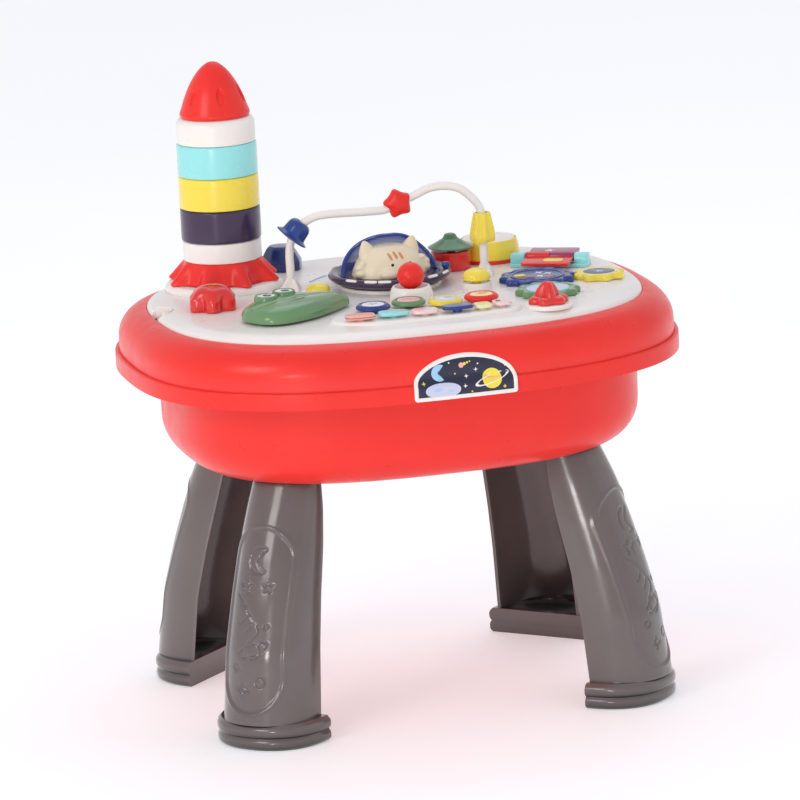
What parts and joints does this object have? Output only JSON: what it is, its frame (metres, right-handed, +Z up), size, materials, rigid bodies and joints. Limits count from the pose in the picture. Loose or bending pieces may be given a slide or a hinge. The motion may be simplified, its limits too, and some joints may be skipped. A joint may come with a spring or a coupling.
{
  "type": "activity table",
  "caption": "Oval activity table for toddlers with flared legs, a storage tub and a lift-off panel of space toys that turn, press, slide and stack.",
  "frame": {"origin": "on the floor, under the middle of the table's outline", "axes": "+X along the table to its right as seen from the front, +Y to the back, +Z up"},
  "size_m": [0.5, 0.4259, 0.5786],
  "materials": {
    "red_plastic": "glossy moulded plastic",
    "taupe_plastic": "glossy moulded plastic",
    "white_plastic": "satin moulded plastic",
    "navy_plastic": "glossy moulded plastic",
    "yellow_plastic": "glossy moulded plastic",
    "cyan_plastic": "glossy moulded plastic",
    "blue_plastic": "glossy moulded plastic",
    "green_plastic": "glossy moulded plastic",
    "pale_plastic": "satin moulded plastic",
    "pale_yellow_plastic": "satin moulded plastic",
    "cream_plastic": "matte moulded plastic",
    "clear_blue_plastic": "clear tinted plastic",
    "dark_plastic": "matte plastic",
    "board": "coated board",
    "steel": "plated steel"
  },
  "bodies": {
    "table": {"rim_shell": "red_plastic", "storage_tub": "red_plastic", "tub_screw_1": "steel", "tub_screw_2": "steel", "tub_screw_3": "steel", "tub_screw_4": "steel", "leg_front_left": "taupe_plastic", "leg_front_right": "taupe_plastic", "leg_rear_left": "taupe_plastic", "leg_rear_right": "taupe_plastic", "front_plate": "blue_plastic"},
    "panel": {"play_panel": "white_plastic", "rocket_tail": "red_plastic", "bead_rail": "white_plastic", "drum_body": "yellow_plastic", "cymbal_drum": "red_plastic", "book_base": "cyan_plastic", "battery_box": "white_plastic", "battery_door": "white_plastic", "battery_1": "steel", "battery_2": "steel", "circuit_board": "board", "speaker": "dark_plastic"},
    "saucer": {"saucer_dish": "navy_plastic", "saucer_hood": "clear_blue_plastic", "saucer_cat": "cream_plastic"},
    "rocket_cup_white_low": {"rocket_cup_white_low": "white_plastic"},
    "rocket_cup_navy": {"rocket_cup_navy": "navy_plastic"},
    "rocket_cup_yellow": {"rocket_cup_yellow": "yellow_plastic"},
    "rocket_cup_cyan": {"rocket_cup_cyan": "cyan_plastic"},
    "rocket_cup_white_top": {"rocket_cup_white_top": "white_plastic"},
    "rocket_nose": {"rocket_nose": "red_plastic"},
    "bead_blue": {"bead_blue": "blue_plastic"},
    "bead_red": {"bead_red": "red_plastic"},
    "bead_yellow": {"bead_yellow": "yellow_plastic"},
    "joystick_ring": {"joystick_ring": "dark_plastic"},
    "joystick_ball": {"joystick_ball": "red_plastic"},
    "ring_button_blue": {"ring_button_blue": "blue_plastic"},
    "ring_button_green": {"ring_button_green": "green_plastic"},
    "ring_button_yellow": {"ring_button_yellow": "yellow_plastic"},
    "ring_button_red": {"ring_button_red": "red_plastic"},
    "key_salmon": {"key_salmon": "pale_plastic"},
    "key_cyan": {"key_cyan": "cyan_plastic"},
    "key_pink": {"key_pink": "pale_plastic"},
    "key_blue": {"key_blue": "blue_plastic"},
    "key_yellow": {"key_yellow": "pale_yellow_plastic"},
    "key_red": {"key_red": "red_plastic"},
    "dome_light": {"dome_light": "yellow_plastic"},
    "small_dome": {"small_dome": "yellow_plastic"},
    "frog": {"frog": "green_plastic"},
    "drum_skin": {"drum_skin": "white_plastic"},
    "cymbal": {"cymbal": "green_plastic"},
    "lobed_knob": {"lobed_knob": "red_plastic"},
    "facet_dial": {"facet_dial": "blue_plastic"},
    "star_knob": {"star_knob": "red_plastic"},
    "gear_blue": {"gear_blue": "blue_plastic"},
    "gear_green": {"gear_green": "green_plastic"},
    "gear_yellow": {"gear_yellow": "yellow_plastic"},
    "book_cover": {"book_cover": "red_plastic"},
    "book_page": {"book_page": "pale_plastic"}
  },
  "joints": [
    {"name": "panel_lift", "type": "slide", "parent": "table", "child": "panel", "axis": [0, 0, 1], "range_m": [0, 0.16]},
    {"name": "rocket_cup_white_low_lift", "type": "slide", "parent": "panel", "child": "rocket_cup_white_low", "axis": [0, 0, 1], "range_m": [0, 0.04]},
    {"name": "rocket_cup_navy_lift", "type": "slide", "parent": "rocket_cup_white_low", "child": "rocket_cup_navy", "axis": [0, 0, 1], "range_m": [0, 0.04]},
    {"name": "rocket_cup_yellow_lift", "type": "slide", "parent": "rocket_cup_navy", "child": "rocket_cup_yellow", "axis": [0, 0, 1], "range_m": [0, 0.04]},
    {"name": "rocket_cup_cyan_lift", "type": "slide", "parent": "rocket_cup_yellow", "child": "rocket_cup_cyan", "axis": [0, 0, 1], "range_m": [0, 0.04]},
    {"name": "rocket_cup_white_top_lift", "type": "slide", "parent": "rocket_cup_cyan", "child": "rocket_cup_white_top", "axis": [0, 0, 1], "range_m": [0, 0.04]},
    {"name": "rocket_nose_lift", "type": "slide", "parent": "rocket_cup_white_top", "child": "rocket_nose", "axis": [0, 0, 1], "range_m": [0, 0.04]},
    {"name": "bead_blue_round_bend", "type": "hinge", "parent": "panel", "child": "bead_blue", "pos_m": [-0.05309, 0.02827, 0.40462], "axis": [0.1412, 0.99, 0], "range_deg": [-26, 34]},
    {"name": "bead_red_slide", "type": "slide", "parent": "panel", "child": "bead_red", "axis": [0.9178, -0.1309, 0.3749], "range_m": [0, 0.012]},
    {"name": "bead_yellow_slide", "type": "slide", "parent": "panel", "child": "bead_yellow", "axis": [0, 0, -1], "range_m": [0, 0.0222]},
    {"name": "saucer_spin", "type": "hinge", "parent": "panel", "child": "saucer", "pos_m": [0.00175, 0.01696, 0.38], "axis": [0, 0, 1], "continuous": true},
    {"name": "joystick_front_back", "type": "hinge", "parent": "panel", "child": "joystick_ring", "pos_m": [0.001, -0.05809, 0.3732], "axis": [1, 0, 0], "range_deg": [-10, 10], "stiffness_Nm_per_rad": 0.03},
    {"name": "joystick_side_side", "type": "hinge", "parent": "joystick_ring", "child": "joystick_ball", "pos_m": [0.001, -0.05809, 0.3732], "axis": [0, 1, 0], "range_deg": [-10, 10], "stiffness_Nm_per_rad": 0.03},
    {"name": "ring_button_blue_press", "type": "slide", "parent": "panel", "child": "ring_button_blue", "axis": [0, 0, -1], "range_m": [0, 0.0019], "stiffness_N_per_m": 500, "springref_m": -0.003},
    {"name": "ring_button_green_press", "type": "slide", "parent": "panel", "child": "ring_button_green", "axis": [0, 0, -1], "range_m": [0, 0.0019], "stiffness_N_per_m": 500, "springref_m": -0.003},
    {"name": "ring_button_yellow_press", "type": "slide", "parent": "panel", "child": "ring_button_yellow", "axis": [0, 0, -1], "range_m": [0, 0.0019], "stiffness_N_per_m": 500, "springref_m": -0.003},
    {"name": "ring_button_red_press", "type": "slide", "parent": "panel", "child": "ring_button_red", "axis": [0, 0, -1], "range_m": [0, 0.0019], "stiffness_N_per_m": 500, "springref_m": -0.003},
    {"name": "key_salmon_press", "type": "slide", "parent": "panel", "child": "key_salmon", "axis": [0, 0, -1], "range_m": [0, 0.0019], "stiffness_N_per_m": 500, "springref_m": -0.003},
    {"name": "key_cyan_press", "type": "slide", "parent": "panel", "child": "key_cyan", "axis": [0, 0, -1], "range_m": [0, 0.0019], "stiffness_N_per_m": 500, "springref_m": -0.003},
    {"name": "key_pink_press", "type": "slide", "parent": "panel", "child": "key_pink", "axis": [0, 0, -1], "range_m": [0, 0.0019], "stiffness_N_per_m": 500, "springref_m": -0.003},
    {"name": "key_blue_press", "type": "slide", "parent": "panel", "child": "key_blue", "axis": [0, 0, -1], "range_m": [0, 0.0019], "stiffness_N_per_m": 500, "springref_m": -0.003},
    {"name": "key_yellow_press", "type": "slide", "parent": "panel", "child": "key_yellow", "axis": [0, 0, -1], "range_m": [0, 0.0019], "stiffness_N_per_m": 500, "springref_m": -0.003},
    {"name": "key_red_press", "type": "slide", "parent": "panel", "child": "key_red", "axis": [0, 0, -1], "range_m": [0, 0.0019], "stiffness_N_per_m": 500, "springref_m": -0.003},
    {"name": "dome_light_press", "type": "slide", "parent": "panel", "child": "dome_light", "axis": [0, 0, -1], "range_m": [0, 0.0019], "stiffness_N_per_m": 500, "springref_m": -0.003},
    {"name": "small_dome_press", "type": "slide", "parent": "panel", "child": "small_dome", "axis": [0, 0, -1], "range_m": [0, 0.0019], "stiffness_N_per_m": 500, "springref_m": -0.003},
    {"name": "frog_press", "type": "slide", "parent": "panel", "child": "frog", "axis": [0, 0, -1], "range_m": [0, 0.0019], "stiffness_N_per_m": 500, "springref_m": -0.003},
    {"name": "drum_skin_press", "type": "slide", "parent": "panel", "child": "drum_skin", "axis": [0, 0, -1], "range_m": [0, 0.0019], "stiffness_N_per_m": 500, "springref_m": -0.003},
    {"name": "cymbal_press", "type": "slide", "parent": "panel", "child": "cymbal", "axis": [0, 0, -1], "range_m": [0, 0.0019], "stiffness_N_per_m": 500, "springref_m": -0.003},
    {"name": "lobed_knob_spin", "type": "hinge", "parent": "panel", "child": "lobed_knob", "pos_m": [-0.171, -0.01208, 0.375], "axis": [0, 0, 1], "continuous": true},
    {"name": "facet_dial_spin", "type": "hinge", "parent": "panel", "child": "facet_dial", "pos_m": [-0.07, 0.13504, 0.375], "axis": [0, 0, 1], "continuous": true},
    {"name": "star_knob_spin", "type": "hinge", "parent": "panel", "child": "star_knob", "pos_m": [0.1025, -0.14649, 0.375], "axis": [0, 0, 1], "continuous": true},
    {"name": "gear_blue_spin", "type": "hinge", "parent": "panel", "child": "gear_blue", "pos_m": [0.126, -0.03392, 0.375], "axis": [0, 0, 1], "continuous": true},
    {"name": "gear_green_spin", "type": "hinge", "parent": "panel", "child": "gear_green", "pos_m": [0.11746, -0.09472, 0.375], "axis": [0, 0, 1], "continuous": true},
    {"name": "gear_yellow_spin", "type": "hinge", "parent": "panel", "child": "gear_yellow", "pos_m": [0.18047, -0.0465, 0.375], "axis": [0, 0, 1], "continuous": true},
    {"name": "book_cover_turn", "type": "hinge", "parent": "panel", "child": "book_cover", "pos_m": [0.157, 0.02756, 0.37912], "axis": [0.8829, -0.4695, 0], "range_deg": [-90, 0]},
    {"name": "book_page_turn", "type": "hinge", "parent": "panel", "child": "book_page", "pos_m": [0.157, 0.02756, 0.37912], "axis": [0.8829, -0.4695, 0], "range_deg": [0, 45]}
  ],
  "couplings": [
    {"joint": "gear_green_spin", "follows": "gear_blue_spin", "ratio": -1.2},
    {"joint": "gear_yellow_spin", "follows": "gear_blue_spin", "ratio": -1.5}
  ]
}
